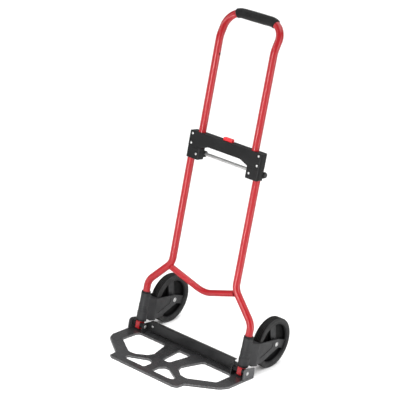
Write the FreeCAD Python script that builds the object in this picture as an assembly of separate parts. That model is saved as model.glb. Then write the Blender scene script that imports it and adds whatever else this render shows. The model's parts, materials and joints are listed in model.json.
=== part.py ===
"""Foldable hand truck: lower tube frame, telescopic handle, toe plate and swinging wheels.

Units are millimetres. +X is the truck's right, +Y its back, +Z up, and z = 0 is the floor.
Most pieces are drawn upright in frame axes (x, n, s), with n behind the frame's plane and
s along its tubes, and lean() then tips them back with the frame.
"""

import FreeCAD, Part
import math
import os

V = FreeCAD.Vector

# Whole object
LEAN = 5.5                # the frame leans back, degrees
ORIGIN_Y = 5.0            # moves the middle of the footprint to y = 0
TUBE_R = 11.0
TUBE_WALL = 1.5
RUN = 0.06                # radial clearance of a running fit
GAP = 0.3                 # clearance between pieces that pass each other

# Lower frame
FOOT_X = 197.0
FRAME_X = 121.0
FOOT_S = 34.0
LOW_BEND_S = 163.0
KNEE_S = 244.0
FRAME_TOP_S = 648.0
BEND_R = 45.0
BRACE_END_S = 231.0       # the brace between the legs
BRACE_MID_S = 188.0
BRACE_MID_N = 20.0
BRACE_BEND_R = 70.0
BRACE_R = 9.5
WASHER_R = 15.0
COLLAR_R = 14.0
COLLAR_H = 6.0
FOOT_BOTTOM_S = 9.0
FOOT_STUB = 16.0          # how far the foot block reaches up into the tube

# Handle
HANDLE_X = 97.5
HANDLE_BOTTOM_S = 577.0
HANDLE_BEND_S = 940.0
HANDLE_TOP_S = 1014.5
HANDLE_TOP_N = 26.6
HANDLE_CORNER_R = 49.0
HANDLE_BEND_R = 60.0
LATCH_HOLE_S = 889.0
LATCH_HOLE_R = 3.4
GRIP_TURN = 26.0          # how far the grip reaches round each corner, degrees
GRIP_R = 15.0
GRIP_END_R = 2.2

# Crosspiece and its latch
CROSS_W = 133.5
CROSS_S = (608.0, 654.0)
CROSS_END_R = 7.0         # rounding of its upright end corners
CROSS_RIVETS_S = (617.0, 645.0)
ARCH_S = 619.5
ARCH_X = (60.0, 87.0)
CROSS_N = 13.5
LATCH_S = 631.0
PIN_R = 2.5
PIN_BODY_R = 4.0
PIN_NOSE = 12.0           # length of the thin nose
PIN_WEDGE_X = (16.0, 26.0)
PIN_WEDGE_S = 4.5         # half its height
BUTTON_X = 16.0
BUTTON_N = 7.0
BUTTON_S = (650.5, 663.0)
SLOT_S = 644.0            # floor of the button's slot
POCKET_S = LATCH_S - 5.0  # floor of the pocket for the spring and pins
POCKET_H = 10.0
POCKET_N = 5.0
SPRING_ROOM = (15.0, 6.5)
SPRING_WIRE_R = 0.6
SPRING_R = 4.2
SPRING_PITCH = 3.6

# Rivets: shank radius, head radius, head height
RIVET = (2.5, 3.7, 1.5)
BEAM_RIVET = (2.5, 4.0, 1.5)

# Sliders and tie rod
SLIDER_X = (84.0, 133.5)
SLIDER_S = (573.0, 607.5)
SLIDER_END_R = 8.0
SLIDER_RIVET_S = 589.0
SLIDER_RIVET_N = 4.5      # its inner end, short of the tie rod
ROD_S = 590.0
ROD_N = 17.0
ROD_R = 5.0
BOSS_R = 9.0
CAP_R = 7.5
CAP_W = 4.0

# Toe plate and its hinge
PLATE_T = 6.0
PLATE_W = 225.0
PLATE_FRONT_Y = -214.0
PLATE_REAR_Y = 29.0
HINGE_Y = -6.0
HINGE_Z = 22.5
HINGE_R = 4.0
EAR_OUT = 26.0
EAR_T = 3.0
SPACER_R = 7.5
FOOT_W = 15.0
DOME = (6.0, 2.2)         # hinge pin's heads: radius, height
BEAM_X = 163.0
BEAM_Y = (7.0, 18.0)
BEAM_Z = (8.5, 41.0)
BEAM_WALL = 2.5
BEAM_RIVET_X = BEAM_X - 9.0
BEAM_RIVET_Z = 26.0

# Wheels and forks
WHEEL_R = 77.0
WHEEL_Y = 127.0
WHEEL_W = 30.0
RIM_R = 63.0
RIM_T = 4.0
WEB_T = 4.0
SPOKES = 3
SPOKE_TURN = 12.0
SPOKE_W = 26.0
SPOKE_T = 21.0
TREAD_GROOVES = (-7.5, -2.5, 2.5, 7.5)
GROOVE_HALF = 0.9
GROOVE_DEPTH = 1.5
HUB_R = 14.0
AXLE_R = 4.0
EYE_R = 16.0
CHEEK_TOP_S = 105.0
PANEL_DEPTH = 1.2
SLEEVE_R = 14.5
SLEEVE_S = (40.0, 122.0)
CHEEK_IN = 18.0
CHEEK_OUT = 22.5
CHEEK_FRONT_N = 38.5
HEEL_S = 36.0             # underside of the fork behind its sleeve
HEEL_N = 15.5
SKIRT_S = 62.0
SLEEVE_RIBS_S = (66.0, 74.0, 82.0)

TILT = math.radians(LEAN)


def in_frame(y, z):
    """Frame coordinates (n, s) of a point given by its y and z on the floor axes."""
    return (y * math.cos(TILT) - z * math.sin(TILT), y * math.sin(TILT) + z * math.cos(TILT))


HUB_N, HUB_S = in_frame(WHEEL_Y, WHEEL_R)
PIN_N, PIN_S = in_frame(HINGE_Y, HINGE_Z)
FOOT_N = (PIN_N - 6.4, 8.0)


def lean(shape):
    """Tips a piece drawn in frame axes back with the frame."""
    leaned = shape.copy()
    leaned.rotate(V(0, 0, 0), V(1, 0, 0), -LEAN)
    return leaned


def save(name, shape):
    """Writes one sub-part, with the middle of the footprint at the origin."""
    placed = shape.copy()
    placed.translate(V(0, ORIGIN_Y, 0))
    if not placed.isValid() or len(placed.Solids) != 1:
        print("CHECK", name, "valid", placed.isValid(), "solids", len(placed.Solids))
    placed.exportStep("parts/" + name + ".step")


def mirrored(shape):
    """The left-hand twin of a right-hand piece."""
    return shape.mirror(V(0, 0, 0), V(1, 0, 0))


def save_pair(stem, shape):
    """Writes a right-hand piece and its left-hand twin."""
    save("right_" + stem, shape)
    save("left_" + stem, mirrored(shape))


def box(x0, x1, y0, y1, z0, z1):
    return Part.makeBox(x1 - x0, y1 - y0, z1 - z0, V(x0, y0, z0))


def cyl_x(r, x0, x1, y, z):
    return Part.makeCylinder(r, x1 - x0, V(x0, y, z), V(1, 0, 0))


def cyl_y(r, y0, y1, x, z):
    return Part.makeCylinder(r, y1 - y0, V(x, y0, z), V(0, 1, 0))


def cyl_z(r, z0, z1, x, y):
    return Part.makeCylinder(r, z1 - z0, V(x, y, z0), V(0, 0, 1))


def rounded_path(points, radii):
    """A wire through points, with an arc of the given radius at each inner point."""
    edges = []
    start = points[0]
    for before, corner, after, r in zip(points, points[1:], points[2:], radii):
        back = (before - corner).normalize()
        ahead = (after - corner).normalize()
        half = math.acos(max(-1.0, min(1.0, back.dot(ahead)))) / 2
        reach = r / math.tan(half)
        first = corner + back * reach
        last = corner + ahead * reach
        middle_way = (back + ahead).normalize()
        middle = corner + middle_way * (r / math.sin(half) - r)
        if (first - start).Length > 1e-6:
            edges.append(Part.makeLine(start, first))
        edges.append(Part.Arc(first, middle, last).toShape())
        start = last
    edges.append(Part.makeLine(start, points[-1]))
    return Part.Wire(edges)


def swept(points, radii, r):
    """A round bar of radius r along a rounded path."""
    path = rounded_path(points, radii)
    way = (points[1] - points[0]).normalize()
    ring = Part.Wire([Part.makeCircle(r, points[0], way)])
    return path.makePipeShell([ring], True, False)


def bent_tube(points, radii, r, wall):
    """A tube of outer radius r along a rounded path."""
    return swept(points, radii, r).cut(swept(points, radii, r - wall))


def outline_face(points, radii):
    """A flat face from a closed list of corners, each rounded by its own radius."""
    edges = []
    count = len(points)
    ends = []
    for i in range(count):
        corner = points[i]
        back = (points[i - 1] - corner).normalize()
        ahead = (points[(i + 1) % count] - corner).normalize()
        r = radii[i]
        if r <= 0:
            ends.append((corner, None, corner))
            continue
        half = math.acos(max(-1.0, min(1.0, back.dot(ahead)))) / 2
        reach = r / math.tan(half)
        middle = corner + (back + ahead).normalize() * (r / math.sin(half) - r)
        ends.append((corner + back * reach, middle, corner + ahead * reach))
    for i in range(count):
        first, middle, last = ends[i]
        if middle is not None:
            edges.append(Part.Arc(first, middle, last).toShape())
        following = ends[(i + 1) % count][0]
        if (following - last).Length > 1e-6:
            edges.append(Part.makeLine(last, following))
    return Part.Face(Part.Wire(edges))


def flat_xy(corners, z0, z1):
    """A plate from corners (x, y, radius), between two heights."""
    face = outline_face([V(x, y, z0) for x, y, r in corners], [c[2] for c in corners])
    return face.extrude(V(0, 0, z1 - z0))


def flat_xz(corners, y0, y1):
    """A plate from corners (x, z, radius), between two depths."""
    face = outline_face([V(x, y0, z) for x, z, r in corners], [c[2] for c in corners])
    return face.extrude(V(0, y1 - y0, 0))


def flat_yz(corners, x0, x1):
    """A plate from corners (y, z, radius), between two sides."""
    face = outline_face([V(x0, y, z) for y, z, r in corners], [c[2] for c in corners])
    return face.extrude(V(x1 - x0, 0, 0))


def dome(r, height, base, way):
    """A shallow rivet head standing on base and rising along way."""
    ball_r = (r * r + height * height) / (2 * height)
    centre = base - way * (ball_r - height)
    ball = Part.makeSphere(ball_r, centre)
    return ball.common(Part.makeCylinder(r, height, base, way))


def rivet(x, n0, n1, s, r, head_r, head_h):
    """A rivet through n, with a domed head at both ends."""
    body = cyl_y(r, n0, n1, x, s)
    front = dome(head_r, head_h, V(x, n0, s), V(0, -1, 0))
    back = dome(head_r, head_h, V(x, n1, s), V(0, 1, 0))
    return body.fuse([front, back]).removeSplitter()


# ---------------------------------------------------------------- lower frame

def frame_path():
    points = [V(FRAME_X, 0, FRAME_TOP_S), V(FRAME_X, 0, KNEE_S), V(FOOT_X, 0, LOW_BEND_S),
              V(FOOT_X, 0, FOOT_S)]
    return points, [BEND_R, BEND_R]


def build_frame():
    points, radii = frame_path()
    bore = TUBE_R - TUBE_WALL
    rivet_holes = [cyl_y(RIVET[0], -20, 20, FRAME_X, s) for s in CROSS_RIVETS_S]
    tube = bent_tube(points, radii, TUBE_R, TUBE_WALL).cut(rivet_holes)
    save_pair("frame_tube", lean(tube))

    brace_points = [V(-FRAME_X, 0, BRACE_END_S), V(0, BRACE_MID_N, BRACE_MID_S),
                    V(FRAME_X, 0, BRACE_END_S)]
    brace = bent_tube(brace_points, [BRACE_BEND_R], BRACE_R, TUBE_WALL)
    solid_leg = swept(points, radii, TUBE_R)
    brace = brace.cut([solid_leg, mirrored(solid_leg)])
    biggest = max(brace.Solids, key=lambda solid: solid.Volume)
    save("cross_tube", lean(biggest))

    block = box(FOOT_X - FOOT_W / 2, FOOT_X + FOOT_W / 2, *FOOT_N, FOOT_BOTTOM_S, FOOT_S)
    block = block.makeFillet(3.0, [e for e in block.Edges if edge_runs(e, V(1, 0, 0))])
    stub = cyl_z(bore, FOOT_S, FOOT_S + FOOT_STUB, FOOT_X, 0)
    foot = block.fuse(stub).removeSplitter()
    foot = foot.cut(cyl_x(HINGE_R + RUN, FOOT_X - 20, FOOT_X + 20, PIN_N, PIN_S))
    save_pair("foot_block", lean(foot))

    tube_space = cyl_z(TUBE_R, 0, LOW_BEND_S, FOOT_X, 0)
    washer = cyl_z(WASHER_R, FOOT_S, SLEEVE_S[0] - GAP, FOOT_X, 0)
    save_pair("thrust_washer", lean(washer.cut(tube_space)))
    collar_s = SLEEVE_S[1] + GAP
    collar = cyl_z(COLLAR_R, collar_s, collar_s + COLLAR_H, FOOT_X, 0).cut(tube_space)
    outer_edges = [e for e in collar.Edges if edge_is_circle(e, COLLAR_R)]
    save_pair("stop_collar", lean(collar.makeFillet(1.2, outer_edges)))


def edge_runs(edge, way):
    """True for a straight edge along the given direction."""
    if edge.Curve.TypeId != "Part::GeomLine":
        return False
    return abs(edge.tangentAt(edge.FirstParameter).dot(way)) > 0.999


def edge_is_circle(edge, r):
    return edge.Curve.TypeId == "Part::GeomCircle" and abs(edge.Curve.Radius - r) < 1e-6


# ----------------------------------------------------------------- crosspiece

def crosspiece_outline():
    low, high = CROSS_S
    corner_x, foot_x = ARCH_X
    right = [(CROSS_W, low, 1), (CROSS_W, high, 7)]
    left = [(-x, z, r) for x, z, r in reversed(right)]
    arch = [(-foot_x, low, 6), (-corner_x, ARCH_S, 24), (corner_x, ARCH_S, 24), (foot_x, low, 6)]
    return right + left + arch


def rounded_bar(x0, x1, r0, r1, s0, s1):
    """A bar as deep as the crosspiece, with its upright corners rounded."""
    return flat_xy([(x0, -CROSS_N, r0), (x1, -CROSS_N, r1), (x1, CROSS_N, r1), (x0, CROSS_N, r0)], s0, s1)


def crosspiece_shell(n0, n1):
    shell = flat_xz(crosspiece_outline(), n0, n1)
    low, high = CROSS_S
    shell = shell.common(rounded_bar(-CROSS_W, CROSS_W, CROSS_END_R, CROSS_END_R, low - 1, high + 1))
    past = high + 20
    cuts = []
    for side in (-1, 1):
        cuts.append(cyl_z(TUBE_R, low - 1, FRAME_TOP_S, side * FRAME_X, 0))
        cuts.append(cyl_z(TUBE_R + RUN, low - 1, past, side * HANDLE_X, 0))
        for s in CROSS_RIVETS_S:
            cuts.append(cyl_y(RIVET[0], -20, 20, side * FRAME_X, s))
    reach = HANDLE_X - TUBE_R + 2
    cuts.append(box(-reach, reach, -POCKET_N, POCKET_N, POCKET_S, POCKET_S + POCKET_H))
    room_x, room_n = SPRING_ROOM
    cuts.append(box(-room_x, room_x, -room_n, room_n, POCKET_S, SLOT_S + 1))
    slot_x = BUTTON_X + GAP
    slot_n = BUTTON_N + GAP
    cuts.append(box(-slot_x, slot_x, -slot_n, slot_n, SLOT_S, past))
    return shell.cut(cuts)


def build_crosspiece():
    save("crosspiece_front", lean(crosspiece_shell(-CROSS_N, 0)))
    save("crosspiece_back", lean(crosspiece_shell(0, CROSS_N)))
    for place, s in zip(("lower", "upper"), CROSS_RIVETS_S):
        pin = rivet(FRAME_X, -CROSS_N, CROSS_N, s, *RIVET)
        save_pair("crosspiece_rivet_" + place, lean(pin))

    low, high = BUTTON_S
    button = box(-BUTTON_X, BUTTON_X, -BUTTON_N, BUTTON_N, low, high)
    soft = [e for e in button.Edges if e.BoundBox.ZMax > low + 1]
    save("release_button", lean(button.makeFillet(2.5, soft)))

    clear = SPRING_WIRE_R + 0.2
    coil = Part.makeHelix(SPRING_PITCH, BUTTON_S[0] - POCKET_S - 2 * clear, SPRING_R)
    way = V(0, 1, SPRING_PITCH / (2 * math.pi * SPRING_R))
    ring = Part.Wire([Part.makeCircle(SPRING_WIRE_R, V(SPRING_R, 0, 0), way)])
    spring = Part.Wire(coil.Edges).makePipeShell([ring], True, True)
    spring.translate(V(0, 0, POCKET_S + clear))
    save("button_spring", lean(spring))

    nose_x = HANDLE_X - TUBE_R - GAP
    inner_x, outer_x = PIN_WEDGE_X
    pin = cyl_x(PIN_BODY_R, (inner_x + outer_x) / 2, nose_x - PIN_NOSE, 0, LATCH_S)
    nose = cyl_x(PIN_R, nose_x - PIN_NOSE, nose_x, 0, LATCH_S)
    wedge = box(inner_x, outer_x, -PIN_BODY_R, PIN_BODY_R, LATCH_S - PIN_WEDGE_S, LATCH_S + PIN_WEDGE_S)
    save_pair("latch_pin", lean(pin.fuse([nose, wedge]).removeSplitter()))


# --------------------------------------------------------------------- handle

def handle_path():
    knee = V(HANDLE_X, 0, HANDLE_BEND_S)
    top = V(HANDLE_X, HANDLE_TOP_N, HANDLE_TOP_S)
    foot = V(HANDLE_X, 0, HANDLE_BOTTOM_S)
    left = [V(-p.x, p.y, p.z) for p in (top, knee, foot)]
    radii = [HANDLE_BEND_R, HANDLE_CORNER_R, HANDLE_CORNER_R, HANDLE_BEND_R]
    return [foot, knee, top] + left, radii


def grip_path():
    """The handle's top run and the start of each corner, as a wire."""
    up = V(0, HANDLE_TOP_N, HANDLE_TOP_S - HANDLE_BEND_S).normalize()
    top = V(0, HANDLE_TOP_N, HANDLE_TOP_S)
    run = HANDLE_X - HANDLE_CORNER_R

    def corner(side, turn):
        out = side * (run + HANDLE_CORNER_R * math.sin(turn))
        return top + V(out, 0, 0) - up * (HANDLE_CORNER_R * (1 - math.cos(turn)))

    turn = math.radians(GRIP_TURN)
    left = Part.Arc(corner(-1, turn), corner(-1, turn / 2), corner(-1, 0)).toShape()
    right = Part.Arc(corner(1, 0), corner(1, turn / 2), corner(1, turn)).toShape()
    path = Part.Wire([left, Part.makeLine(corner(-1, 0), corner(1, 0)), right])
    way = V(math.cos(turn), 0, 0) + up * math.sin(turn)
    return path, corner(-1, turn), way


def build_grip():
    path, start, way = grip_path()
    ring = Part.Wire([Part.makeCircle(GRIP_R, start, way)])
    grip = path.makePipeShell([ring], True, False)
    ends = [e for e in grip.Edges if edge_is_circle(e, GRIP_R) and abs(e.Curve.Center.x) > abs(start.x) - 1]
    grip = grip.makeFillet(GRIP_END_R, ends)
    bore = Part.Wire([Part.makeCircle(TUBE_R, start, way)])
    save("handle_grip", lean(grip.cut(path.makePipeShell([bore], True, False))))


def build_handle():
    points, radii = handle_path()
    tube = bent_tube(points, radii, TUBE_R, TUBE_WALL)
    hole_reach = HANDLE_X - TUBE_R - 3
    holes = []
    for side in (-1, 1):
        for s in (LATCH_HOLE_S, LATCH_S):
            x0 = hole_reach if side > 0 else -HANDLE_X
            x1 = HANDLE_X if side > 0 else -hole_reach
            holes.append(cyl_x(LATCH_HOLE_R, x0, x1, 0, s))
        holes.append(cyl_y(RIVET[0], -20, SLIDER_RIVET_N, side * HANDLE_X, SLIDER_RIVET_S))
    save("handle_tube", lean(tube.cut(holes)))

    build_grip()
    build_sliders()


def build_sliders():
    low, high = SLIDER_S
    x0, x1 = SLIDER_X
    outline = [(x0, low, 5), (x1, low, 6), (x1, high, 1), (x0, high, 1)]
    block = flat_xz(outline, -CROSS_N, CROSS_N)
    block = block.common(rounded_bar(x0, x1, SLIDER_END_R, SLIDER_END_R, low - 1, high + 1))
    boss = cyl_x(BOSS_R, x0, x1, ROD_N, ROD_S)
    web = box(x0, x1, CROSS_N - 4, ROD_N, ROD_S - BOSS_R, ROD_S + BOSS_R)
    block = block.fuse([boss, web]).removeSplitter()
    cuts = [cyl_z(TUBE_R, HANDLE_BOTTOM_S, high + 1, HANDLE_X, 0),
            cyl_z(TUBE_R + RUN, low - 1, high + 1, FRAME_X, 0),
            cyl_x(ROD_R, x0 - 1, x1 + 1, ROD_N, ROD_S),
            cyl_y(RIVET[0], -CROSS_N - 1, SLIDER_RIVET_N, HANDLE_X, SLIDER_RIVET_S)]
    save_pair("slider", lean(block.cut(cuts)))
    pin = cyl_y(RIVET[0], -CROSS_N, SLIDER_RIVET_N, HANDLE_X, SLIDER_RIVET_S)
    head = dome(RIVET[1], RIVET[2], V(HANDLE_X, -CROSS_N, SLIDER_RIVET_S), V(0, -1, 0))
    save_pair("slider_rivet", lean(pin.fuse(head).removeSplitter()))

    save("tie_rod", lean(cyl_x(ROD_R, -x1, x1, ROD_N, ROD_S)))
    cap = cyl_x(CAP_R, x1, x1 + CAP_W, ROD_N, ROD_S)
    outer_edge = [e for e in cap.Edges if edge_is_circle(e, CAP_R) and e.BoundBox.XMin > x1 + 1]
    cap = cap.makeFillet(1.5, outer_edge)
    save_pair("rod_cap", lean(cap))


# ------------------------------------------------------------------ toe plate

def plate_corners():
    right = [(117.0, PLATE_FRONT_Y, 10), (130.0, -206.0, 5), (132.0, -179.0, 8), (212.0, -117.0, 22),
             (PLATE_W - 1, -92.0, 22), (PLATE_W, PLATE_REAR_Y, 6)]
    return right + [(-x, y, r) for x, y, r in reversed(right)]


def side_opening():
    return [(74.0, -21.0, 13), (181.0, -21.0, 15), (181.0, -94.0, 9), (112.0, -144.0, 16),
            (88.0, -142.0, 10), (60.0, -119.0, 8), (53.0, -98.0, 8)]


def front_opening():
    return [(16.0, -186.0, 5), (16.0, -154.0, 6), (26.0, -139.0, 7), (40.0, -138.0, 7),
            (91.0, -170.0, 4), (91.0, -181.0, 5), (80.0, -186.0, 6)]


def middle_opening():
    half = [(12.0, -106.0, 7), (22.0, -19.0, 6)]
    return half + [(-x, y, r) for x, y, r in reversed(half)]


def build_plate():
    plate = flat_xy(plate_corners(), 0, PLATE_T)
    top_rim = [e for e in plate.Edges if e.BoundBox.ZMin > PLATE_T - 1e-6]
    plate = plate.makeChamfer(1.8, top_rim)
    openings = [flat_xy(middle_opening(), -1, PLATE_T + 1)]
    for corners in (side_opening(), front_opening()):
        hole = flat_xy(corners, -1, PLATE_T + 1)
        openings += [hole, mirrored(hole)]
    plate = plate.cut(openings)
    inner_rim = [e for e in plate.Edges
                 if e.BoundBox.ZMin > PLATE_T - 1e-6 and abs(e.BoundBox.XMax) < 182
                 and e.BoundBox.YMax < -16 and e.BoundBox.YMin > -193 and on_opening(e)]
    save("toe_plate", plate.makeChamfer(1.4, inner_rim))

    outer_outline = [(-25.0, PLATE_T, 0), (-23.0, 41.0, 10), (27.0, 32.0, 4), (PLATE_REAR_Y, PLATE_T, 0)]
    inner_outline = [(-19.5, PLATE_T, 0), (-18.5, 27.0, 4), (-8.0, 35.0, 5), (24.0, 32.0, 5),
                     (PLATE_REAR_Y, 24.0, 4), (PLATE_REAR_Y, PLATE_T, 0)]
    pin_hole = cyl_x(HINGE_R, FOOT_X - 40, FOOT_X + 40, HINGE_Y, HINGE_Z)
    outer_x = FOOT_X + EAR_OUT - EAR_T
    inner_x = FOOT_X - EAR_OUT
    save_pair("outer_ear", flat_yz(outer_outline, outer_x, outer_x + EAR_T).cut(pin_hole))
    tab = box(BEAM_X - 18, inner_x + 1, 9.5, 12.5, 13, 34)
    tab = tab.cut(cyl_y(BEAM_RIVET[0], 0, 30, BEAM_RIVET_X, BEAM_RIVET_Z))
    inner_ear = flat_yz(inner_outline, inner_x, inner_x + EAR_T).fuse(tab).removeSplitter()
    save_pair("inner_ear", inner_ear.cut(pin_hole))

    block_edge = FOOT_W / 2 + GAP
    ear_face = EAR_OUT - EAR_T
    for side_name, x0, x1 in (("outer", block_edge, ear_face), ("inner", -ear_face, -block_edge)):
        spacer = cyl_x(SPACER_R, FOOT_X + x0, FOOT_X + x1, HINGE_Y, HINGE_Z)
        save_pair(side_name + "_hinge_spacer", spacer.cut(pin_hole))

    pin = cyl_x(HINGE_R, FOOT_X - EAR_OUT, FOOT_X + EAR_OUT, HINGE_Y, HINGE_Z)
    outer = dome(*DOME, V(FOOT_X + EAR_OUT, HINGE_Y, HINGE_Z), V(1, 0, 0))
    inner = dome(*DOME, V(FOOT_X - EAR_OUT, HINGE_Y, HINGE_Z), V(-1, 0, 0))
    save_pair("hinge_pin", pin.fuse([outer, inner]).removeSplitter())

    y0, y1 = BEAM_Y
    z0, z1 = BEAM_Z
    beam = box(-BEAM_X, BEAM_X, y0, y1, z0, z1)
    long_edges = [e for e in beam.Edges if edge_runs(e, V(1, 0, 0)) and e.BoundBox.YMax < y0 + 1]
    beam = beam.makeFillet(3.0, long_edges)
    beam = beam.cut(box(-BEAM_X - 1, BEAM_X + 1, y0 + BEAM_WALL, y1 + 1, z0 + BEAM_WALL, z1 - BEAM_WALL))
    holes = [cyl_y(BEAM_RIVET[0], 0, 30, side * BEAM_RIVET_X, BEAM_RIVET_Z) for side in (-1, 1)]
    save("lower_beam", beam.cut(holes))
    save_pair("beam_rivet", rivet(BEAM_RIVET_X, y0, 12.5, BEAM_RIVET_Z, *BEAM_RIVET))


def on_opening(edge):
    """True for an edge of an opening, which stays well inside the plate's outline."""
    middle = edge.valueAt((edge.FirstParameter + edge.LastParameter) / 2)
    return abs(middle.x) < 181 and not (abs(middle.x) > 125 and middle.y < -150)


# ----------------------------------------------------------- forks and wheels

def wedge_between(s0, s1):
    """The part of the fork that widens from its sleeve to the cheeks, between two heights."""
    half = SLEEVE_R - 1
    widen_n = CHEEK_FRONT_N - 8
    return flat_xy([(FOOT_X - half, 0, 0), (FOOT_X + half, 0, 0), (FOOT_X + CHEEK_OUT, widen_n, 3),
                    (FOOT_X + CHEEK_OUT, CHEEK_FRONT_N, 0), (FOOT_X - CHEEK_OUT, CHEEK_FRONT_N, 0),
                    (FOOT_X - CHEEK_OUT, widen_n, 3)], s0, s1)


def build_fork():
    low, high = SLEEVE_S
    sleeve = cyl_z(SLEEVE_R, low, high, FOOT_X, 0)
    skirt = cyl_z(SLEEVE_R + 1.8, low, SKIRT_S, FOOT_X, 0)
    ribs = [cyl_z(SLEEVE_R + 1.0, s, s + 4, FOOT_X, 0) for s in SLEEVE_RIBS_S]
    wedge = wedge_between(low, 110)
    slope = flat_yz([(-1, 109, 0), (CHEEK_FRONT_N + 1, CHEEK_TOP_S, 0), (CHEEK_FRONT_N + 1, 130, 0),
                     (-1, 130, 0)], FOOT_X - 40, FOOT_X + 40)
    wedge = wedge.cut(slope)
    heel_n = CHEEK_FRONT_N + 8
    heel = flat_yz([(HEEL_N, HEEL_S, 2), (CHEEK_FRONT_N, HEEL_S, 0), (heel_n, low, 0), (heel_n, low + 4, 0),
                    (HEEL_N, low + 4, 0)], FOOT_X - CHEEK_OUT, FOOT_X + CHEEK_OUT)
    heel = heel.common(wedge_between(HEEL_S, low + 4))
    fork = sleeve.fuse([skirt, wedge, heel] + ribs)
    arm_knee = (71.0, 48.0)
    drop = math.atan2(HUB_S - arm_knee[1], HUB_N - arm_knee[0])
    under = (HUB_N + EYE_R * math.sin(drop), HUB_S - EYE_R * math.cos(drop))
    for x0, x1 in ((CHEEK_IN, CHEEK_OUT), (-CHEEK_OUT, -CHEEK_IN)):
        arm = flat_yz([(CHEEK_FRONT_N - 2, low, 0), (47.0, low, 6), (arm_knee[0], arm_knee[1], 30),
                       (under[0], under[1], 0), (HUB_N, HUB_S, 0), (HUB_N, HUB_S + EYE_R, 0),
                       (CHEEK_FRONT_N - 2, CHEEK_TOP_S, 0)], FOOT_X + x0, FOOT_X + x1)
        eye = cyl_x(EYE_R, FOOT_X + x0, FOOT_X + x1, HUB_N, HUB_S)
        fork = fork.fuse([arm, eye])
    panel_n = CHEEK_FRONT_N + 5
    for outer_x in (CHEEK_OUT - PANEL_DEPTH, -CHEEK_OUT - 1.0):
        panel = flat_yz([(panel_n, 100.0, 3), (100.0, 99.0, 6), (101.0, 83.0, 9), (panel_n, 55.0, 3)],
                        FOOT_X + outer_x, FOOT_X + outer_x + 1.0 + PANEL_DEPTH)
        fork = fork.cut(panel)
    fork = fork.cut([cyl_z(TUBE_R + RUN, 0, 200, FOOT_X, 0),
                     cyl_x(AXLE_R, FOOT_X - 40, FOOT_X + 40, HUB_N, HUB_S)])
    save_pair("fork", lean(fork.removeSplitter()))

    axle = cyl_x(AXLE_R, FOOT_X - CHEEK_OUT, FOOT_X + CHEEK_OUT, HUB_N, HUB_S)
    heads = [dome(7.0, 2.8, V(FOOT_X + side * CHEEK_OUT, HUB_N, HUB_S), V(side, 0, 0))
             for side in (-1, 1)]
    save_pair("axle", lean(axle.fuse(heads).removeSplitter()))


def wheel_revolved(profile, radii):
    """A solid of revolution about the wheel's axle from corners (x, r)."""
    face = outline_face([V(FOOT_X + x, WHEEL_Y, WHEEL_R + r) for x, r in profile], radii)
    return face.revolve(V(FOOT_X, WHEEL_Y, WHEEL_R), V(1, 0, 0), 360)


def wheel_ring(x0, x1, r0, r1):
    """A plain ring about the wheel's axle."""
    return wheel_revolved([(x0, r0), (x1, r0), (x1, r1), (x0, r1)], [0, 0, 0, 0])


def build_wheels():
    half = WHEEL_W / 2
    bead = half - 1
    tyre = wheel_revolved([(-bead, RIM_R), (bead, RIM_R), (half, RIM_R + 4), (half - 1, WHEEL_R - 4),
                           (half - 5, WHEEL_R), (5 - half, WHEEL_R), (1 - half, WHEEL_R - 4),
                           (-half, RIM_R + 4)], [0, 0, 1.5, 3, 3, 3, 3, 1.5])
    groove_r = WHEEL_R - GROOVE_DEPTH
    grooves = [wheel_ring(x - GROOVE_HALF, x + GROOVE_HALF, groove_r, WHEEL_R + 2) for x in TREAD_GROOVES]
    save_pair("tyre", tyre.cut(grooves))

    bore_r = AXLE_R + 2.5
    hub = wheel_ring(-half - 1, half + 1, bore_r, HUB_R)
    band_r = RIM_R - RIM_T
    band = wheel_ring(-bead, bead, band_r, RIM_R)
    web = wheel_ring(-WEB_T / 2, WEB_T / 2, HUB_R - 1, band_r + 1)
    outside = wheel_ring(-half, half, band_r + 1, WHEEL_R)
    spokes = []
    for i in range(SPOKES):
        arm = box(FOOT_X - SPOKE_T / 2, FOOT_X + SPOKE_T / 2, WHEEL_Y - SPOKE_W / 2, WHEEL_Y + SPOKE_W / 2,
                  WHEEL_R + bore_r + 1, WHEEL_R + RIM_R).cut(outside)
        arm.rotate(V(FOOT_X, WHEEL_Y, WHEEL_R), V(1, 0, 0), SPOKE_TURN + 360 / SPOKES * i)
        spokes.append(arm)
    rim = hub.fuse([band, web] + spokes).removeSplitter()
    save_pair("rim", rim)

    save_pair("hub_bush", wheel_ring(-half - 2, half + 2, AXLE_R + RUN, bore_r))


def main():
    os.makedirs("parts", exist_ok=True)
    build_frame()
    build_crosspiece()
    build_handle()
    build_plate()
    build_fork()
    build_wheels()


main()
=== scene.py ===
"""Looks of the foldable hand truck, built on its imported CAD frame. Metres, +Z up, -Y front."""

import json
import math

import bmesh
import bpy
from mathutils import Matrix, Vector, noise


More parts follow.
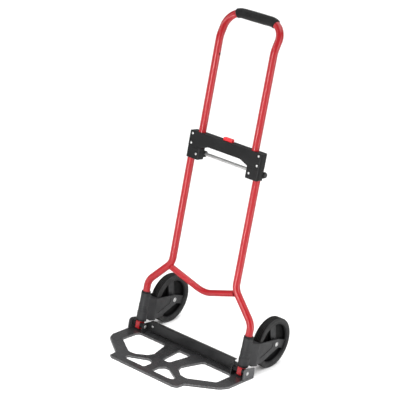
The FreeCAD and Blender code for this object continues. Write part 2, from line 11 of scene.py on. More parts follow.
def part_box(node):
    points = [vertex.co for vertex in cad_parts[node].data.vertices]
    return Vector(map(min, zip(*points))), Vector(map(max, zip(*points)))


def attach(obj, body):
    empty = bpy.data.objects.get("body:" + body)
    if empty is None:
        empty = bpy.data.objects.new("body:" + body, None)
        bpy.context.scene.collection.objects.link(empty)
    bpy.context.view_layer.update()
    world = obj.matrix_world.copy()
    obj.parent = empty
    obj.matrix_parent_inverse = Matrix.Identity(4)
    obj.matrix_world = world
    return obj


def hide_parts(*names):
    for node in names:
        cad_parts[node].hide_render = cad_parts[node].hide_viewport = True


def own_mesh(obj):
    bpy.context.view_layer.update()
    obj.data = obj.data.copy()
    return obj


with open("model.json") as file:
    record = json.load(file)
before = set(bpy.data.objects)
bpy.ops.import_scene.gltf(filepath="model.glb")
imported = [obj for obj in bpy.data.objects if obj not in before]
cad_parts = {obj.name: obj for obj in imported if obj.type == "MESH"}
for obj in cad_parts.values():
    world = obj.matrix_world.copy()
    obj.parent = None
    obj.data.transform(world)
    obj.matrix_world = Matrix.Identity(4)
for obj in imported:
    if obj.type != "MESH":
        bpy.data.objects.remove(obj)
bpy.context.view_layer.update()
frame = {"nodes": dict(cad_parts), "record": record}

NODES = frame["nodes"]
SIDES = ("left", "right")
BODIES = frame["record"]["behaviour"]["bodies"]
BODY_OF = {node: body for body, nodes in BODIES.items() for node in nodes}


# ------------------------------------------------------------------ materials

NOISE_MIDDLE = (0.35, 0.65)           # the values of a noise pattern over which roughness changes
BLUE_CAST = 1.04                      # blue over red, in grey()


def grey(shade):
    """A very slightly blue grey, of the given level."""
    return (shade, shade, shade * BLUE_CAST)


class Finish:
    """A Principled material with a few helpers for its procedural detail."""

    def __init__(self, name, colour, roughness, metallic=0.0):
        self.material = bpy.data.materials.new(name)
        self.material.use_nodes = True
        self.tree = self.material.node_tree
        self.shader = self.tree.nodes["Principled BSDF"]
        self.shader.inputs["Base Color"].default_value = (*colour, 1.0)
        self.shader.inputs["Roughness"].default_value = roughness
        self.shader.inputs["Metallic"].default_value = metallic
        self.place = self.tree.nodes.new("ShaderNodeTexCoord").outputs["Object"]
        self.last_normal = None

    def set(self, socket, value):
        """Sets one of the shader's own sockets."""
        self.shader.inputs[socket].default_value = value

    def noise(self, scale, detail, roughness=0.5, stretch=None):
        """A noise pattern, with scale per metre; stretch scales the coordinates, for streaks."""
        texture = self.tree.nodes.new("ShaderNodeTexNoise")
        texture.inputs["Scale"].default_value = scale
        texture.inputs["Detail"].default_value = detail
        texture.inputs["Roughness"].default_value = roughness
        place = self.place
        if stretch is not None:
            mapping = self.tree.nodes.new("ShaderNodeMapping")
            mapping.inputs["Scale"].default_value = stretch
            self.tree.links.new(place, mapping.inputs["Vector"])
            place = mapping.outputs["Vector"]
        self.tree.links.new(place, texture.inputs["Vector"])
        return texture.outputs["Fac"]

    def cells(self, scale):
        """A pattern of small rounded cells, as distance from each cell's centre."""
        texture = self.tree.nodes.new("ShaderNodeTexVoronoi")
        texture.inputs["Scale"].default_value = scale
        self.tree.links.new(self.place, texture.inputs["Vector"])
        return texture.outputs["Distance"]

    def ramp(self, pattern, low, high, from_value, to_value):
        """Maps a pattern's values between low and high to a range of numbers."""
        node = self.tree.nodes.new("ShaderNodeMapRange")
        node.inputs["From Min"].default_value = low
        node.inputs["From Max"].default_value = high
        node.inputs["To Min"].default_value = from_value
        node.inputs["To Max"].default_value = to_value
        self.tree.links.new(pattern, node.inputs["Value"])
        return node.outputs["Result"]

    def vary_roughness(self, pattern, smooth, rough):
        """Ramps the roughness from smooth to rough over the middle of the pattern's values."""
        value = self.ramp(pattern, *NOISE_MIDDLE, smooth, rough)
        self.tree.links.new(value, self.shader.inputs["Roughness"])

    def tint(self, pattern, colour, low, high, most):
        """Blends another colour in: none at a pattern value of low, a share of most at high."""
        mix = self.tree.nodes.new("ShaderNodeMix")
        mix.data_type = "RGBA"
        base = self.shader.inputs["Base Color"]
        if base.is_linked:
            self.tree.links.new(base.links[0].from_socket, mix.inputs["A"])
        else:
            mix.inputs["A"].default_value = base.default_value
        mix.inputs["B"].default_value = (*colour, 1.0)
        share = self.ramp(pattern, low, high, 0.0, most)
        self.tree.links.new(share, mix.inputs["Factor"])
        self.tree.links.new(mix.outputs["Result"], base)

    def bump(self, pattern, depth, strength):
        """Adds relief of the given depth in metres on top of any relief before it."""
        node = self.tree.nodes.new("ShaderNodeBump")
        node.inputs["Distance"].default_value = depth
        node.inputs["Strength"].default_value = strength
        self.tree.links.new(pattern, node.inputs["Height"])
        if self.last_normal is not None:
            self.tree.links.new(self.last_normal, node.inputs["Normal"])
        self.last_normal = node.outputs["Normal"]
        self.tree.links.new(self.last_normal, self.shader.inputs["Normal"])


def red_paint():
    """Glossy red paint under a clear coat, with faint mottling and orange peel."""
    paint = Finish("red_gloss_paint", (0.27, 0.007, 0.011), 0.30)
    paint.set("Specular IOR Level", 0.08)
    paint.set("Coat Weight", 0.55)
    paint.set("Coat Roughness", 0.12)
    paint.tint(paint.noise(9.0, 3.0), (0.31, 0.012, 0.016), 0.35, 0.7, 0.6)
    paint.tint(paint.noise(420.0, 1.0), (0.20, 0.006, 0.010), 0.66, 0.78, 0.35)
    paint.vary_roughness(paint.noise(40.0, 4.0), 0.28, 0.42)
    paint.bump(paint.noise(520.0, 2.0), 0.00006, 0.6)
    return paint.material


def moulded_plastic(name, shade, specular):
    """Black plastic with the fine grain of a mould; shade is its grey level."""
    plastic = Finish(name, grey(shade), 0.5)
    plastic.set("Specular IOR Level", specular)
    plastic.tint(plastic.noise(28.0, 4.0), grey(shade * 1.5), 0.4, 0.7, 0.8)
    speck = shade * 2.8
    plastic.tint(plastic.noise(900.0, 1.0), (speck, speck, speck), 0.64, 0.74, 0.5)
    plastic.vary_roughness(plastic.noise(60.0, 3.0), 0.40, 0.56)
    plastic.bump(plastic.noise(1500.0, 2.0), 0.00008, 0.8)
    return plastic.material


def rim_plastic():
    """The wheels' darker plastic."""
    plastic = Finish("dark_rim_plastic", (0.006, 0.006, 0.0065), 0.46)
    plastic.set("Specular IOR Level", 0.25)
    plastic.tint(plastic.noise(45.0, 4.0), (0.011, 0.011, 0.012), 0.4, 0.7, 0.8)
    plastic.vary_roughness(plastic.noise(90.0, 3.0), 0.38, 0.54)
    plastic.bump(plastic.noise(1300.0, 2.0), 0.00006, 0.7)
    return plastic.material


def black_powder_coat(name, shade):
    """Smooth black powder coat on steel; shade is its grey level."""
    coat = Finish(name, grey(shade), 0.42)
    coat.set("Specular IOR Level", 0.3)
    coat.tint(coat.noise(35.0, 3.0), grey(shade * 1.5), 0.4, 0.7, 0.7)
    coat.vary_roughness(coat.noise(80.0, 3.0), 0.34, 0.5)
    coat.bump(coat.cells(620.0), 0.00006, 0.7)
    return coat.material


def plate_rim_highlight():
    """The toe plate's rims, lighter than its coat: a painted highlight along its edges, with darker
    mottling.
    """
    edge = Finish("plate_rim_painted_highlight", (0.085, 0.085, 0.087), 0.36)
    edge.set("Specular IOR Level", 0.5)
    edge.tint(edge.noise(160.0, 5.0, 0.7), (0.022, 0.022, 0.023), 0.42, 0.62, 1.0)
    edge.vary_roughness(edge.noise(90.0, 4.0), 0.28, 0.5)
    edge.bump(edge.noise(700.0, 3.0), 0.00008, 0.7)
    return edge.material


def bare_bore_painted_shade():
    """Unpainted steel inside the handle tube, made near black as painted shade for the dark inside of
    its holes.
    """
    steel = Finish("bare_tube_inside_painted_shade", (0.012, 0.011, 0.011), 0.7)
    steel.set("Specular IOR Level", 0.1)
    steel.tint(steel.noise(60.0, 4.0), (0.03, 0.026, 0.024), 0.45, 0.75, 0.6)
    steel.vary_roughness(steel.noise(120.0, 3.0), 0.6, 0.8)
    steel.bump(steel.noise(800.0, 2.0), 0.00005, 0.6)
    return steel.material


def plate_coat():
    """The toe plate's glossier dark coat, with specks and long faint scuffs."""
    coat = Finish("plate_powder_coat", (0.016, 0.016, 0.017), 0.26)
    coat.set("Specular IOR Level", 0.8)
    coat.tint(coat.noise(18.0, 5.0, 0.6), (0.026, 0.026, 0.027), 0.4, 0.7, 0.7)
    coat.tint(coat.noise(700.0, 1.0), (0.07, 0.07, 0.07), 0.62, 0.74, 0.5)
    coat.tint(coat.noise(55.0, 6.0, 0.7, (1.0, 0.12, 1.0)), (0.08, 0.08, 0.08), 0.66, 0.8, 0.35)
    coat.vary_roughness(coat.noise(45.0, 4.0), 0.22, 0.34)
    coat.bump(coat.cells(520.0), 0.00004, 0.5)
    return coat.material


def tyre_rubber():
    """Matt rubber with a little dust in places."""
    rubber = Finish("tyre_rubber", (0.010, 0.010, 0.010), 0.55)
    rubber.set("Specular IOR Level", 0.25)
    rubber.tint(rubber.noise(40.0, 5.0, 0.6), (0.022, 0.0215, 0.021), 0.45, 0.75, 0.8)
    rubber.vary_roughness(rubber.noise(90.0, 4.0), 0.46, 0.64)
    rubber.bump(rubber.noise(900.0, 3.0), 0.0001, 0.7)
    return rubber.material


def grip_foam():
    """Closed-cell foam with its small pits."""
    foam = Finish("grip_foam", (0.006, 0.006, 0.006), 0.8)
    foam.set("Specular IOR Level", 0.15)
    foam.set("Sheen Weight", 0.08)
    foam.set("Sheen Roughness", 0.5)
    foam.tint(foam.noise(60.0, 4.0), (0.012, 0.012, 0.012), 0.4, 0.7, 0.8)
    foam.vary_roughness(foam.noise(200.0, 3.0), 0.7, 0.9)
    foam.bump(foam.cells(900.0), 0.0002, 0.9)
    return foam.material


def bright_zinc():
    """Zinc plate with fine marks drawn out along X."""
    zinc = Finish("bright_zinc", (0.40, 0.40, 0.395), 0.42, 0.9)
    zinc.tint(zinc.noise(120.0, 4.0), (0.30, 0.30, 0.295), 0.45, 0.75, 0.6)
    zinc.vary_roughness(zinc.noise(300.0, 3.0, 0.5, (0.15, 1.0, 1.0)), 0.34, 0.5)
    zinc.bump(zinc.noise(700.0, 2.0, 0.5, (0.1, 1.0, 1.0)), 0.00003, 0.5)
    return zinc.material


def red_button():
    """The release button's glossy red plastic."""
    plastic = Finish("red_button_plastic", (0.68, 0.020, 0.028), 0.3)
    plastic.tint(plastic.noise(90.0, 3.0), (0.60, 0.016, 0.024), 0.45, 0.75, 0.5)
    plastic.vary_roughness(plastic.noise(150.0, 3.0), 0.24, 0.4)
    plastic.bump(plastic.noise(1200.0, 2.0), 0.00004, 0.6)
    return plastic.material


def nylon():
    """The hub bushes' undyed nylon."""
    plastic = Finish("natural_nylon", (0.60, 0.59, 0.55), 0.45)
    plastic.tint(plastic.noise(80.0, 3.0), (0.52, 0.51, 0.47), 0.45, 0.75, 0.6)
    plastic.vary_roughness(plastic.noise(200.0, 3.0), 0.38, 0.52)
    plastic.bump(plastic.noise(1000.0, 2.0), 0.00004, 0.5)
    return plastic.material


FINISHES = {
    "red_paint": red_paint(),
    "black_plastic": moulded_plastic("black_moulded_plastic", 0.007, 0.13),
    "button_red": red_button(),
    "foam": grip_foam(),
    "tyre": tyre_rubber(),
    "plate": plate_coat(),
    "black_metal": black_powder_coat("black_powder_coat", 0.010),
    "zinc": bright_zinc(),
    "bush": nylon(),
}
# Painted light: the outer hinge ears get a lighter copy of the black coat, while the inner ears keep
# the dark coat.
EAR_PAINTED_LIGHT_FINISH = black_powder_coat("ear_coat_painted_light", 0.045)
FORK_FINISH = moulded_plastic("fork_moulded_plastic", 0.018, 0.20)
RIM_FINISH = rim_plastic()
RIM_HIGHLIGHT_FINISH = plate_rim_highlight()
INSIDE_FINISH = bare_bore_painted_shade()
# A darker copy of the black plastic: painted shade for the tyres' grooves and the rims' barrels and
# webs.
PAINTED_SHADE_FINISH = moulded_plastic("painted_shade_plastic", 0.003, 0.05)


def finish_of(row):
    """The finish of a node: its slot's, but a lighter plastic on the forks, and on the outer hinge ears
    a lighter copy of the black coat as painted light.
    """
    if row["node"].endswith("_fork"):
        return FORK_FINISH
    if row["node"].endswith("outer_ear"):
        return EAR_PAINTED_LIGHT_FINISH
    return FINISHES[row["material_slot"]]


NODE_SHARP = math.radians(32)         # edges of the CAD nodes sharper than this stay crisp


def dress_cad_nodes():
    """Gives every CAD node its finish, with smooth shading."""
    for row in frame["record"]["subparts"]:
        node = NODES[row["node"]]
        node.data.materials.clear()
        node.data.materials.append(finish_of(row))
        node.data.shade_smooth()
        node.data.set_sharp_from_angle(angle=NODE_SHARP)


LEAN = math.radians(5.5)              # the whole frame leans back
FRAME_Y = 0.005                       # the frame's plane meets the floor here
HANDLE_X = 0.0975                     # the handle's legs, each side of the middle
BORE_REACH = 0.0107                   # between the tube's bore and its outside
LEG_TOP = 0.92                        # along the frame, just below where the legs start to bend


def darken_bore():
    """Leaves bare steel inside the handle's straight legs, made near black as painted shade where its
    holes show it.
    """
    mesh = NODES["handle_tube"].data
    mesh.materials.append(INSIDE_FINISH)
    for face in mesh.polygons:
        x, y, z = face.center
        behind = (y - FRAME_Y) * math.cos(LEAN) - z * math.sin(LEAN)
        height = (y - FRAME_Y) * math.sin(LEAN) + z * math.cos(LEAN)
        if height < LEG_TOP and math.hypot(abs(x) - HANDLE_X, behind) < BORE_REACH:
            face.material_index = 1


# -------------------------------------------------------- pieces made in meshes

def make_piece(name, vertices, faces, material, smooth_angle):
    """A new object from vertices and faces, with outward normals and sharp edges by angle."""
    mesh = bpy.data.meshes.new(name)
    mesh.from_pydata(vertices, [], faces)
    shape = bmesh.new()
    shape.from_mesh(mesh)
    bmesh.ops.recalc_face_normals(shape, faces=shape.faces)
    shape.to_mesh(mesh)
    shape.free()
    mesh.shade_smooth()
    mesh.set_sharp_from_angle(angle=math.radians(smooth_angle))
    mesh.materials.append(material)
    piece = bpy.data.objects.new(name, mesh)
    bpy.context.scene.collection.objects.link(piece)
    return piece


class Lathe:
    """Gathers rings, spokes and other closed solids about one X axle into a single mesh."""

    def __init__(self, centre):
        self.centre = Vector(centre)
        self.vertices = []
        self.faces = []
        self.shaded = set()

    def point(self, x, r, angle):
        """Adds the vertex at x along the axle, r from it, and angle about it from the top."""
        offset = Vector((x, -r * math.sin(angle), r * math.cos(angle)))
        self.vertices.append(self.centre + offset)

    def ring(self, profile, steps, in_shade=lambda x, r: False):
        """A solid of revolution from a closed profile of (x, r); in_shade picks the faces that get
        painted shade.
        """
        first = len(self.vertices)
        count = len(profile)
        for i in range(steps):
            for x, r in profile:
                self.point(x, r, 2 * math.pi * i / steps)
        for i in range(steps):
            for j in range(count):
                k = (j + 1) % count
                near = first + i * count
                far = first + (i + 1) % steps * count
                middle = [(a + b) / 2 for a, b in zip(profile[j], profile[k])]
                if in_shade(*middle):
                    self.shaded.add(len(self.faces))
                self.faces.append((near + j, near + k, far + k, far + j))

    def spoke(self, angle, sections):
        """A bar out along a radius: each section is (r, closed outline of (x, offset across))."""
        first = len(self.vertices)
        count = len(sections[0][1])
        for r, outline in sections:
            for x, across in outline:
                turn = angle + math.atan2(across, r)
                self.point(x, math.hypot(r, across), turn)
        for i in range(len(sections) - 1):
            for j in range(count):
                k = (j + 1) % count
                near = first + i * count
                self.faces.append((near + j, near + k, near + count + k, near + count + j))
        self.faces.append(tuple(range(first, first + count)))
        last = first + (len(sections) - 1) * count
        self.faces.append(tuple(range(last, last + count)))

    def piece(self, name, material, smooth_angle):
        """Makes the object, with painted shade (the darker finish) on its shaded faces."""
        piece = make_piece(name, self.vertices, self.faces, material, smooth_angle)
        if self.shaded:
            piece.data.materials.append(PAINTED_SHADE_FINISH)
            for i in self.shaded:
                piece.data.polygons[i].material_index = 1
        return piece


def arc(centre, radius, start, end, steps):
    """Points (x, r) along an arc, with angles in degrees from the +X direction."""
    points = []
    for i in range(steps + 1):
        a = math.radians(start + (end - start) * i / steps)
        points.append((centre[0] + radius * math.cos(a), centre[1] + radius * math.sin(a)))
    return points


def both_sides(half):
    """A closed profile from its +X half, whose last point lies just off the middle."""
    return half + [(-x, r) for x, r in reversed(half)]


# -------------------------------------------------------------- softened edges

EDGE_WIDTHS = {                       # nodes whose edges are rounded; a pair is without its side
    "crosspiece_front": 0.0009,
    "crosspiece_back": 0.0009,
    "toe_plate": 0.0005,
    "lower_beam": 0.0006,
    "slider": 0.0008,
    "fork": 0.0007,
    "inner_ear": 0.0005,
    "outer_ear": 0.0005,
    "foot_block": 0.0006,
}
ROUNDED = math.radians(30.0)          # edges sharper than this are rounded
KEPT_SHARP = math.radians(50.0)       # edges of the rounded copy sharper than this stay crisp
SAME_POINT = 0.000002                 # vertices this near each other are merged
SAME_PLANE = math.radians(0.5)        # and faces this nearly flat to each other
RIM_SLOPE = (0.15, 0.97)              # the z of the normal of a rim face that gets the painted highlight


def paint_rim_highlights(mesh):
    """Gives the sloping faces round the toe plate's outline and openings a lighter finish, a painted
    highlight.
    """
    mesh.materials.append(RIM_HIGHLIGHT_FINISH)
    for face in mesh.polygons:
        if RIM_SLOPE[0] < face.normal.z < RIM_SLOPE[1]:
            face.material_index = 1


def soften(row, width):
    """Stands a copy with rounded edges in for a hard-edged CAD node."""
    shape = bmesh.new()
    shape.from_mesh(NODES[row["node"]].data)
    bmesh.ops.remove_doubles(shape, verts=shape.verts, dist=SAME_POINT)
    bmesh.ops.dissolve_limit(shape, angle_limit=SAME_PLANE, verts=shape.verts, edges=shape.edges)
    edges = [e for e in shape.edges if e.is_manifold and e.calc_face_angle() > ROUNDED]
    bmesh.ops.bevel(shape, geom=edges, offset=width, offset_type="WIDTH", segments=2, profile=0.5,
                    affect="EDGES", clamp_overlap=True)
    mesh = bpy.data.meshes.new(row["node"] + "_softened")
    shape.to_mesh(mesh)
    shape.free()
    mesh.shade_smooth()
    mesh.set_sharp_from_angle(angle=KEPT_SHARP)
    mesh.materials.append(finish_of(row))
    if row["node"] == "toe_plate":
        paint_rim_highlights(mesh)
    piece = bpy.data.objects.new(row["node"] + "_softened", mesh)
    bpy.context.scene.collection.objects.link(piece)
    weighted = piece.modifiers.new("weighted_normals", "WEIGHTED_NORMAL")
    weighted.keep_sharp = True
    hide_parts(row["node"])
    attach(piece, BODY_OF[row["node"]])


def soften_nodes():
    """Rounds the edges of every node that EDGE_WIDTHS lists."""
    for row in frame["record"]["subparts"]:
        kind = row["node"].removeprefix("left_").removeprefix("right_")
        if kind in EDGE_WIDTHS:
            soften(row, EDGE_WIDTHS[kind])


# --------------------------------------------------------------------- spring


def build_spring():
    """The button's coil spring: a copy of its CAD node, which rides with that node's body."""
    mesh = NODES["button_spring"].data.copy()
    spring = bpy.data.objects.new("coil_spring", mesh)
    bpy.context.scene.collection.objects.link(spring)
    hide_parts("button_spring")
    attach(spring, BODY_OF["button_spring"])
    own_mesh(spring)


# ---------------------------------------------------------------------- tyres

GROOVE_PLACES = (0.0075, 0.0025)      # from the middle of the tread, on each side of it
GROOVE_HALF = 0.0012                  # half of a groove's width under its chamfers
GROOVE_FLOOR_HALF = GROOVE_HALF * 0.8
GROOVE_CHAMFER = 0.0005
GROOVE_DEPTH = 0.0022
SHADE_DEPTH = 0.0004                  # faces of the grooves whose middle is deeper get painted shade
TREAD_HALF = 0.009                    # the part of the tread that has grooves
TYRE_STEPS = 160                      # faces round it
TYRE_SMOOTH = 28.0                    # degrees: sharper edges stay crisp


def tyre_profile(outer, inner, half):
    """The tyre's section: bead, sidewall with a raised ring, shoulder and grooved tread."""
    points = [(half - 0.0014, inner)]
    points += [(half - 0.0004, inner + 0.0010), (half - 0.0002, inner + 0.0024)]
    points += [(half - 0.0009, inner + 0.0030), (half - 0.0009, inner + 0.0038)]
    points += [(half - 0.0001, inner + 0.0045), (half, inner + 0.0070), (half - 0.0005, outer - 0.0042)]
    points += arc((half - 0.0048, outer - 0.0040), 0.0040, 12, 88, 6)
    wide = GROOVE_HALF + GROOVE_CHAMFER
    floor = outer - GROOVE_DEPTH
    for place in GROOVE_PLACES:
        points += [(place + wide, outer), (place + GROOVE_HALF, outer - GROOVE_CHAMFER)]
        points += [(place + GROOVE_FLOOR_HALF, floor), (place - GROOVE_FLOOR_HALF, floor)]
        points += [(place - GROOVE_HALF, outer - GROOVE_CHAMFER), (place - wide, outer)]
    return both_sides(points)


def build_tyre(side):
    """The rubber tyre, which fits round the rim."""
    low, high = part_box(side + "_tyre")
    rim_low, rim_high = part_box(side + "_rim")
    inner = (rim_high.z - rim_low.z) / 2
    lathe = Lathe((low + high) / 2)
    outer = (high.z - low.z) / 2
    # the groove faces deeper than SHADE_DEPTH get painted shade
    lathe.ring(tyre_profile(outer, inner, (high.x - low.x) / 2), TYRE_STEPS,
               lambda x, r: r < outer - SHADE_DEPTH and abs(x) < TREAD_HALF)
    tyre = lathe.piece(side + "_tyre_rubber", FINISHES["tyre"], TYRE_SMOOTH)
    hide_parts(side + "_tyre")
    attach(tyre, side + "_wheel")


# ----------------------------------------------------------------------- rims

SPOKES = 3
SPOKE_TURN = math.radians(12.0)       # the first spoke, from the top
SPOKE_FACE = 0.0105                   # half of a spoke's thickness at the hub
SPOKE_TAPER = 0.0008                  # what each face loses by the rim
SPOKE_HALF = 0.013                    # half of its width
SPOKE_CHAMFER = 0.0007
SPOKE_RIB = 0.0030                    # the width of the rib along each of its edges
SPOKE_RECESS = 0.0006                 # how deep it is between the ribs
SPOKE_ROOT = 0.0030                   # how far its inner end reaches into the hub
SPOKE_TIP = 0.0050                    # how far its outer end stops short of the rim's outside
SPOKE_SECTIONS = 5
LIP_HALF = 0.0138                     # half of the barrel's width
WEB_HALF = 0.0018                     # half of the web's thickness
WEB_TIP = 0.0055                      # how far the web stops short of the rim's outside
HUB_R = 0.014
BORE_R = 0.0065
BARREL_SHADE = 0.0038                 # barrel faces deeper than this get painted shade
RIM_STEPS = 160                       # faces round the barrel
WEB_STEPS = 96
HUB_STEPS = 64
RIM_SMOOTH = 30.0                     # degrees: sharper edges stay crisp


def rim_barrel(outer):
    """The rim's ring: a rounded lip on each side, and an inside that slopes in to the web."""
    half = [(0.0, outer), (LIP_HALF - 0.0006, outer), (LIP_HALF, outer - 0.0008)]
    half += [(LIP_HALF, outer - 0.0020), (LIP_HALF - 0.0008, outer - 0.0028)]
    half += [(LIP_HALF - 0.0060, outer - 0.0042), (0.0024, outer - 0.0062), (0.0, outer - 0.0064)]
    back = [(-x, r) for x, r in reversed(half[1:-1])]
    return half + back


def spoke_outline(face):
    """A spoke's section: chamfered edge ribs with a recess between them, on both faces."""
    upper = [(face - SPOKE_CHAMFER, SPOKE_HALF), (face, SPOKE_HALF - SPOKE_CHAMFER)]
    upper += [(face, SPOKE_HALF - SPOKE_RIB), (face - SPOKE_RECESS, SPOKE_HALF - SPOKE_RIB - 0.0010)]
    front = upper + [(x, -across) for x, across in reversed(upper)]
    back = [(-x, across) for x, across in reversed(front)]
    return front + back


def build_rim(side):
    """The moulded wheel: barrel, web, hub and three broad spokes."""
    low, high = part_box(side + "_rim")
    outer = (high.z - low.z) / 2
    half = (high.x - low.x) / 2
    lathe = Lathe((low + high) / 2)
    lathe.ring(rim_barrel(outer), RIM_STEPS, lambda x, r: r < outer - BARREL_SHADE)
    web_in = HUB_R - 0.002
    web_out = outer - WEB_TIP
    web = [(WEB_HALF, web_in), (WEB_HALF, web_out), (-WEB_HALF, web_out), (-WEB_HALF, web_in)]
    # the whole web gets painted shade
    lathe.ring(web, WEB_STEPS, lambda x, r: True)
    boss = [(half, BORE_R), (half, HUB_R - 0.0045), (half - 0.0008, HUB_R - 0.0038)]
    boss += [(half - 0.0030, HUB_R - 0.0034), (half - 0.0038, HUB_R - 0.0006)]
    boss += [(half - 0.0046, HUB_R), (0.0, HUB_R)]
    lathe.ring(boss + [(-x, r) for x, r in reversed(boss[:-1])], HUB_STEPS)
    for i in range(SPOKES):
        sections = []
        for step in range(SPOKE_SECTIONS):
            share = step / (SPOKE_SECTIONS - 1)
            r = HUB_R - SPOKE_ROOT + (outer - SPOKE_TIP - HUB_R + SPOKE_ROOT) * share
            sections.append((r, spoke_outline(SPOKE_FACE - SPOKE_TAPER * share)))
        lathe.spoke(SPOKE_TURN + 2 * math.pi / SPOKES * i, sections)
    rim = lathe.piece(side + "_rim_moulding", RIM_FINISH, RIM_SMOOTH)
    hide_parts(side + "_rim")
    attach(rim, side + "_wheel")


# ----------------------------------------------------------------------- grip

TOP_TILT = math.radians(25.15)        # how far from upright the loop's top part leans back
TOP_UP = Vector((0, math.sin(TOP_TILT), math.cos(TOP_TILT)))
CORNER_X = 0.0485                     # where the handle's corners start
CORNER_R = 0.049
GRIP_HALF = 0.0707                    # half of the grip's length along the tube
GRIP_R = 0.015
GRIP_BORE = 0.0111                    # the radius of its hole, just over the tube's
GRIP_CROWN = 0.0007                   # what its radius loses from the middle to the ends
GRIP_END_DROP = 0.0028                # and what the round edge at each end takes off besides
GRIP_END_SHARE = 0.05                 # the share of its half length that the round edge takes up
GRIP_STEPS = 56                       # along it
GRIP_AROUND = 64
GRIP_SMOOTH = 50.0                    # degrees: sharper edges stay crisp
FOAM_WAVES = ((55.0, 0.00018), (240.0, 0.00007))    # per metre, and their height
FOAM_SINK = 0.00025                   # keeps the waves inside the grip's radius
FOAM_PLAIN = 0.001                    # there are no waves within this of the hole


def along_grip(middle, t):
    """The tube's centre at a length t from the middle of the grip, and its direction there."""
    side = 1 if t > 0 else -1
    turn = max(0.0, abs(t) - CORNER_X) / CORNER_R
    straight = min(abs(t), CORNER_X)
    out = Vector((side * (straight + CORNER_R * math.sin(turn)), 0, 0))
    centre = middle + out - TOP_UP * (CORNER_R * (1 - math.cos(turn)))
    way = Vector((math.cos(turn), 0, 0)) - TOP_UP * (side * math.sin(turn))
    return centre, way


def grip_radius(t):
    """Crowned along its length, with a round edge at both ends."""
    share = abs(t) / GRIP_HALF
    end = min(1.0, max(0.0, (share - 1 + GRIP_END_SHARE) / GRIP_END_SHARE))
    return GRIP_R - GRIP_CROWN * share ** 2 - GRIP_END_DROP * (1 - math.sqrt(1 - end * end))


def build_grip():
    """The foam sleeve, which follows the handle's top and the start of each corner."""
    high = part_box("handle_grip")[1]
    middle = Vector((0, high.y - GRIP_R, high.z - GRIP_R))
    ts = [GRIP_HALF * (1 - 2 * i / GRIP_STEPS) for i in range(GRIP_STEPS + 1)]
    profile = [(t, grip_radius(t)) for t in ts] + [(t, GRIP_BORE) for t in reversed(ts)]
    vertices = []
    faces = []
    for t, r in profile:
        centre, way = along_grip(middle, t)
        across = Vector((1, 0, 0)).cross(TOP_UP).normalized()
        upward = across.cross(way).normalized()
        for i in range(GRIP_AROUND):
            a = 2 * math.pi * i / GRIP_AROUND
            out = upward * math.cos(a) + across * math.sin(a)
            spot = centre + out * r
            if r > GRIP_BORE + FOAM_PLAIN:
                wave = sum(noise.noise(spot * scale) * height for scale, height in FOAM_WAVES)
                spot += out * (wave - FOAM_SINK)
            vertices.append(spot)
    count = len(profile)
    for j in range(count):
        k = (j + 1) % count
        near = j * GRIP_AROUND
        far = k * GRIP_AROUND
        for i in range(GRIP_AROUND):
            n = (i + 1) % GRIP_AROUND
            faces.append((near + i, far + i, far + n, near + n))
    grip = make_piece("foam_grip", vertices, faces, FINISHES["foam"], GRIP_SMOOTH)
    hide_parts("handle_grip")
    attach(grip, "handle")


# -------------------------------------------------------------- camera, light

AZIMUTH = math.radians(37.27)
ELEVATION = math.radians(19.28)
ROLL = math.radians(7.0)
SCALE = 1.05                          # the object's size over that at which the camera was set
FOCUS = Vector((0.0, FRAME_Y, 0.005 + 0.45 * SCALE))
OFFSET_RIGHT = 0.021                  # how far right of the view's middle the focus is, before scaling
OFFSET_UP = -0.006
DISTANCE = 4.356                      # from the focus, before scaling
SENSOR = 36.0                         # millimetres
LENS_OVER_WIDTH = 3.9935              # focal length over the sensor's width


def build_camera():
    """The camera, in front of the truck, to its right and above, and rolled a little."""
    reach = math.cos(ELEVATION)
    ahead = Vector((-math.sin(AZIMUTH) * reach, math.cos(AZIMUTH) * reach, -math.sin(ELEVATION)))
    level = Vector((math.cos(AZIMUTH), math.sin(AZIMUTH), 0.0))
    upright = level.cross(ahead)
    right = level * math.cos(ROLL) + upright * math.sin(ROLL)
    up = upright * math.cos(ROLL) - level * math.sin(ROLL)
    camera = bpy.data.cameras.new("camera")
    camera.sensor_width = SENSOR
    camera.lens = SENSOR * LENS_OVER_WIDTH
    holder = bpy.data.objects.new("camera", camera)
    bpy.context.scene.collection.objects.link(holder)
    place = FOCUS - (right * OFFSET_RIGHT + up * OFFSET_UP + ahead * DISTANCE) * SCALE
    turn = Matrix((right, up, -ahead)).transposed().to_4x4()
    holder.matrix_world = Matrix.Translation(place) @ turn
    bpy.context.scene.camera = holder


AMBIENT = 0.30                        # what lights the object from all round
BACKDROP = 1.0                        # what shows behind it
FLOOR_REACH = 30.0
SUNS = (                              # name, direction it comes from, strength, spread in degrees
    ("overhead_sun", (0.15, 0.2, 1.0), 2.6, 60.0),
    ("right_sun", (1.0, 0.1, 0.35), 0.9, 40.0),
    ("back_sun", (0.0, 1.0, 0.45), 0.5, 50.0),
)
STRIPS = (                            # name, place, what it points at, size, power in watts
    ("front_strip", (0.08, -0.98, 0.60), (0.03, 0, 0.55), (0.06, 1.2), 15.0),
    ("top_strip", (-0.5, -0.9, 1.5), (0, 0, 0.3), (1.6, 0.08), 4.0),
    ("right_strip", (0.95, 0.20, 0.60), (0, 0, 0.55), (0.06, 1.2), 4.0),
)


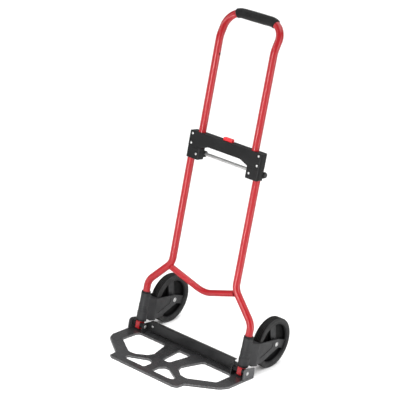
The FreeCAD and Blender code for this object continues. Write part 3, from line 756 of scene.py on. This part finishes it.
def soft_strip(name, place, target, size, power):
    """A long, narrow area light, for the streaks along the tubes."""
    lamp = bpy.data.lights.new(name, "AREA")
    lamp.shape = "RECTANGLE"
    lamp.size, lamp.size_y = size
    lamp.energy = power
    holder = bpy.data.objects.new(name, lamp)
    holder.visible_camera = False
    bpy.context.scene.collection.objects.link(holder)
    way = (Vector(target) - Vector(place)).normalized()
    holder.matrix_world = Matrix.Translation(place) @ way.to_track_quat("-Z", "Y").to_matrix().to_4x4()


def soft_sun(name, way, strength, spread):
    """A wide, distant light from the direction `way`, with a soft edge to its shadows."""
    lamp = bpy.data.lights.new(name, "SUN")
    lamp.energy = strength
    lamp.angle = math.radians(spread)
    holder = bpy.data.objects.new(name, lamp)
    bpy.context.scene.collection.objects.link(holder)
    holder.matrix_world = (-Vector(way)).to_track_quat("-Z", "Y").to_matrix().to_4x4()


def build_studio():
    """A white studio with its lights and a pale floor."""
    scene = bpy.context.scene
    scene.view_settings.view_transform = "Standard"
    world = bpy.data.worlds.new("white_studio")
    world.use_nodes = True
    scene.world = world
    backdrop = world.node_tree.nodes["Background"]
    backdrop.inputs["Color"].default_value = (1.0, 1.0, 1.0, 1.0)
    ray = world.node_tree.nodes.new("ShaderNodeLightPath")
    level = world.node_tree.nodes.new("ShaderNodeMapRange")
    level.inputs["To Min"].default_value = AMBIENT
    level.inputs["To Max"].default_value = BACKDROP
    world.node_tree.links.new(ray.outputs["Is Camera Ray"], level.inputs["Value"])
    world.node_tree.links.new(level.outputs["Result"], backdrop.inputs["Strength"])
    for sun in SUNS:
        soft_sun(*sun)
    for strip in STRIPS:
        soft_strip(*strip)

    mesh = bpy.data.meshes.new("floor")
    corners = [(x * FLOOR_REACH, y * FLOOR_REACH, 0) for x, y in ((-1, -1), (1, -1), (1, 1), (-1, 1))]
    mesh.from_pydata(corners, [], [(0, 1, 2, 3)])
    floor = bpy.data.objects.new("floor", mesh)
    scene.collection.objects.link(floor)
    pale = Finish("pale_floor", (0.93, 0.93, 0.93), 0.7)
    pale.tint(pale.noise(3.0, 3.0), (0.90, 0.90, 0.90), 0.3, 0.7, 0.5)
    mesh.materials.append(pale.material)


dress_cad_nodes()
darken_bore()
soften_nodes()
build_spring()
for side in SIDES:
    build_tyre(side)
    build_rim(side)
build_grip()
build_camera()
build_studio()
